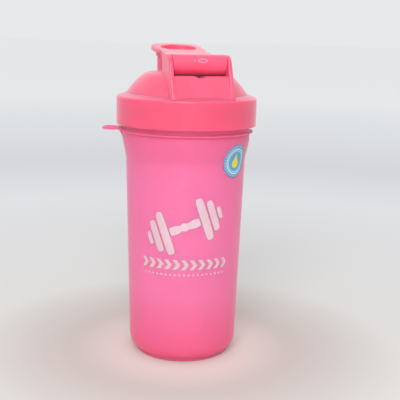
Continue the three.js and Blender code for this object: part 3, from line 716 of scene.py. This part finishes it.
def flip_field(x, y, z):
    """The flip cap: the space between its top and its underside, inside a plan that widens from the arm to
    the head and closes with the curve |x / w|^n + |y|^n = 1, with a shallow skirt over the spout's lip, the
    barrel joined on, an oval dish sunk in the head and a hollow cored out under the arm. The head's lower
    edge slants in towards the spout."""
    wide = np.abs(x)
    half = np.interp(y, (ARM_RISE_Y, HEAD_Y), (ARM_W, HEAD_W))
    past = np.maximum(y - HEAD_END + HEAD_ROUND, 0) / HEAD_ROUND
    plan = ((np.abs(x / half) ** HEAD_POWER + past ** HEAD_POWER) ** (1 / HEAD_POWER) - 1) * 16.5
    slant = (plan + (HEAD_LOW + HEAD_SLANT_H - z) * HEAD_SLANT) * 0.74
    depth = cut(z - cap_top(y), cap_low(y) - z, 1.2)
    side = np.where(y > HEAD_Y - 2, np.maximum(plan, slant), plan)
    spout = np.hypot(x, y - SPOUT_Y)
    ring = np.maximum(spout - SPOUT_R - CAP_SKIRT_OUT, SPOUT_R - CAP_SKIRT_IN - spout)
    skirt = cut(ring, SPOUT_TOP - CAP_SKIRT_H - z, 0.6)
    arm = join(cut(depth, side, 1.8), np.maximum(skirt, z - HEAD_LOW - 1), 0.6)
    arm = np.maximum(arm, HINGE_Y - y)
    barrel = cut(np.hypot(y - HINGE_Y, z - HINGE_Z) - BARREL_R, wide - BARREL_HALF, 1.2)
    body = join(arm, barrel, 0.5)
    dish = (np.sqrt((x / DISH_W) ** 2 + ((y - DISH_Y) / DISH_L) ** 2) - 1) * 12
    body = cut(body, -cut(dish, DISH_FLOOR - z, 1.2), 0.9)
    core = np.maximum(cut(wide - CORE_W, np.abs(y - CORE_Y) - CORE_L, 4.0), z - cap_top(y) + CORE_ROOF)
    body = cut(body, -core, 0.8)
    return cut(body, BARREL_HOLE_R - np.hypot(y - HINGE_Y, z - HINGE_Z), 0.3)


def emblem_on_barrel():
    """A small raised open ring with a dot beside it, wrapped on the barrel's upper front."""
    t = np.linspace(0, 2 * np.pi, 72, endpoint=False)
    tube = np.linspace(0, 2 * np.pi, 10, endpoint=False)

    def wound(cx, a, b, thick):
        u = cx + (a + thick * np.cos(tube)[None]) * np.cos(t)[:, None]
        v = (b + thick * np.cos(tube)[None]) * np.sin(t)[:, None] + 0 * u
        out = BARREL_R + 0.05 + thick * np.sin(tube)[None] + 0 * u
        angle = MARK_ANGLE + v / BARREL_R
        grid = np.stack([u, HINGE_Y - out * np.cos(angle), HINGE_Z + out * np.sin(angle)], -1)
        n, m = u.shape
        ids = np.arange(n * m).reshape(n, m)
        up, side = np.roll(ids, -1, 0), np.roll(ids, -1, 1)
        faces = np.stack([ids, side, np.roll(up, -1, 1), up], -1).reshape(-1, 4)
        return grid.reshape(-1, 3) * MM, faces.tolist()

    return merged([wound(1.4, 3.3, 1.3, 0.42), wound(-4.4, 0.35, 0.3, 0.4)])


def pin_along_x(length_low, length_high, radius):
    """The hinge pin: a lathe profile with chamfered ends, laid along x on the hinge axis."""
    points, faces = lathe(rounded([(0, length_low, 0), (radius, length_low, 0.3), (radius, length_high, 0.3),
                                   (0, length_high, 0)]), 48)
    x, y, z = points.T
    return np.stack([z, x + HINGE_Y * MM, y + HINGE_Z * MM], 1), faces


def gasket_profile():
    """The sealing ring's rounded section."""
    return rounded([(46, GASKET_LOW, 0), (GASKET_R, GASKET_LOW, 0.6), (GASKET_R, GASKET_TOP, 0.6),
                    (GASKET_IN_R, GASKET_TOP, 0.6), (GASKET_IN_R, GASKET_LOW, 0.6), (46, GASKET_LOW, 0)])[:-1]


def plug_profile():
    """The spout's plug: a disc hollow below, with a lip that tapers down into the bore."""
    return rounded([(0, PLUG_FACE_Z, 0), (PLUG_FACE_R, PLUG_FACE_Z, 0.6), (PLUG_FACE_R, PLUG_LOW, 0.5),
                    (PLUG_LIP_R, PLUG_LOW, 0.6), (PLUG_R, PLUG_TOP, 0.3), (0, PLUG_TOP, 0)])


# ---------------------------------------------------------------- making the pieces

def dress(piece, body, finish, slot, *nodes):
    """Gives a piece its material and its moving body, and hides the nodes that it replaces. The material slot
    is not used.
    """
    piece.data.materials.append(finish)
    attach(piece, body)
    if nodes:
        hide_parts(*nodes)


def lid_object(name, points, faces):
    """A mesh worked out in the lid's own frame, turned with the lid."""
    return mesh_object(name, turned(points), faces)


cup_finish, lid_finish, soft_finish = cup_polypropylene(), lid_polypropylene(), soft_elastomer()
ink_finish, film_finish, strainer_finish = screen_ink(), sticker_film(), strainer_polypropylene()

dress(mesh_object("cup_body", *lathe(cup_profile())), "cup", cup_finish, "cup_plastic", "cup")
dress(mesh_object("cup_hanging_loop", *skin(loop_field, (-64.5, -14, 156), (-44, 14, 174), 0.35)), "cup",
      cup_finish, "cup_plastic")
dress(mesh_object("cup_neck_thread", *thread(NECK_R, NECK_CREST_R, NECK_THREAD_Z)), "cup", cup_finish,
      "cup_plastic")
dress(mesh_object("print_front", *printed(PRINT_FRONT)), "cup", ink_finish, "cup_plastic")
dress(mesh_object("print_back", *printed(PRINT_BACK)), "cup", ink_finish, "cup_plastic")
dress(mesh_object("round_sticker", *sticker_disc(STICKER_AT, STICKER_Z, STICKER_R)), "cup", film_finish,
      "sticker_film", "label_sticker")
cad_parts["strainer"].data.materials.clear()
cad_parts["strainer"].data.materials.append(strainer_finish)

dress(mesh_object("neck_gasket", *lathe(gasket_profile(), closed=True)), "seal", soft_finish, "soft_seal",
      "lid_gasket")

dress(lid_object("lid_collar", *lathe(collar_profile(), closed=True)), "lid", lid_finish, "lid_plastic",
      "lid")
dress(lid_object("lid_dome", *skin(lid_field, (-47, -47.5, 196.2), (47, 47.5, 229), 0.55)), "lid", lid_finish,
      "lid_plastic", "lid")
lid_thread_z = NECK_THREAD_Z - THREAD_DROP + PITCH * LID_TURN / (2 * math.pi)
dress(lid_object("lid_thread", *thread(COLLAR_IN_R, LID_CREST_R, lid_thread_z)), "lid", lid_finish,
      "lid_plastic")
dress(lid_object("hinge_pin_rod", *pin_along_x(PIN_LEFT, PIN_RIGHT, PIN_R)), "lid", lid_finish, "lid_plastic",
      "hinge_pin")

dress(lid_object("flip_cap_arm", *skin(flip_field, (-21.5, -37, 213), (21.5, 46, 235.5), 0.45)), "flip",
      lid_finish, "lid_plastic", "flip_cap")
dress(lid_object("flip_cap_mark", *emblem_on_barrel()), "flip", painted_highlight_polypropylene(), "lid_plastic")
dress(lid_object("spout_plug_soft", *lathe(plug_profile(), 96, centre_y=SPOUT_Y)), "flip", soft_finish,
      "soft_seal", "spout_plug")


# ---------------------------------------------------------------- stage, light and camera

def stage():
    """The paper floor as one wide disc, and a pale sky all round."""
    floor_points, floor_faces = lathe([(0, 0), *[(r, 0) for r in np.geomspace(50, 60000, 24)]], 96)
    floor_points[:, 2] -= 0.0001
    floor = mesh_object("paper_floor", floor_points, [f[::-1] for f in floor_faces])
    floor.data.materials.append(paper_with_painted_shade())
    world = bpy.data.worlds.new("studio")
    bpy.context.scene.world = world
    world.use_nodes = True
    tree = world.node_tree
    up = add(tree, "SeparateXYZ", [(add(tree, "TexCoord").outputs["Generated"], 0)]).outputs["Z"]
    glow = add(tree, "MapRange", [(up, "Value")],
               {"From Min": 0.06, "From Max": 0.4, "To Min": 1.0, "To Max": 1.5},
               interpolation_type="SMOOTHSTEP")
    sky = tree.nodes["Background"]
    sky.inputs["Color"].default_value = linear("#e7e9eb")
    tree.links.new(glow.outputs[0], sky.inputs["Strength"])


def soft_box(name, place, aim, size, watts, highlight=True):
    """A rectangular light aimed at a point, in metres. Without a highlight it isn't mirrored in glossy
    skins."""
    light = bpy.data.lights.new(name, "AREA")
    light.shape, light.size, light.size_y, light.energy = "RECTANGLE", size[0], size[1], watts
    box = bpy.data.objects.new(name, light)
    bpy.context.collection.objects.link(box)
    box.location = place
    box.visible_glossy = highlight
    box.rotation_euler = (Vector(aim) - Vector(place)).to_track_quat("-Z", "Y").to_euler()


def camera():
    """A camera in front of the print and above it, looking a little down and rolled a little."""
    lens = bpy.data.cameras.new("camera")
    lens.lens, lens.sensor_width = CAMERA_LENS, SENSOR_WIDTH
    made = bpy.data.objects.new("camera", lens)
    bpy.context.collection.objects.link(made)
    made.matrix_world = (Matrix.Translation(CAMERA_AT)
                         @ Matrix.Rotation(math.radians(90 - CAMERA_DOWN), 4, "X")
                         @ Matrix.Rotation(math.radians(CAMERA_ROLL), 4, "Z"))
    bpy.context.scene.camera = made


stage()
soft_box("key", (-0.15, -1.2, 0.95), (0, 0, 0.12), (0.8, 0.5), 14)
soft_box("front", (0.05, -1.4, 0.16), (0, 0, 0.17), (1.0, 0.3), 7, highlight=False)
bpy.context.scene.view_settings.view_transform = "Standard"
camera()
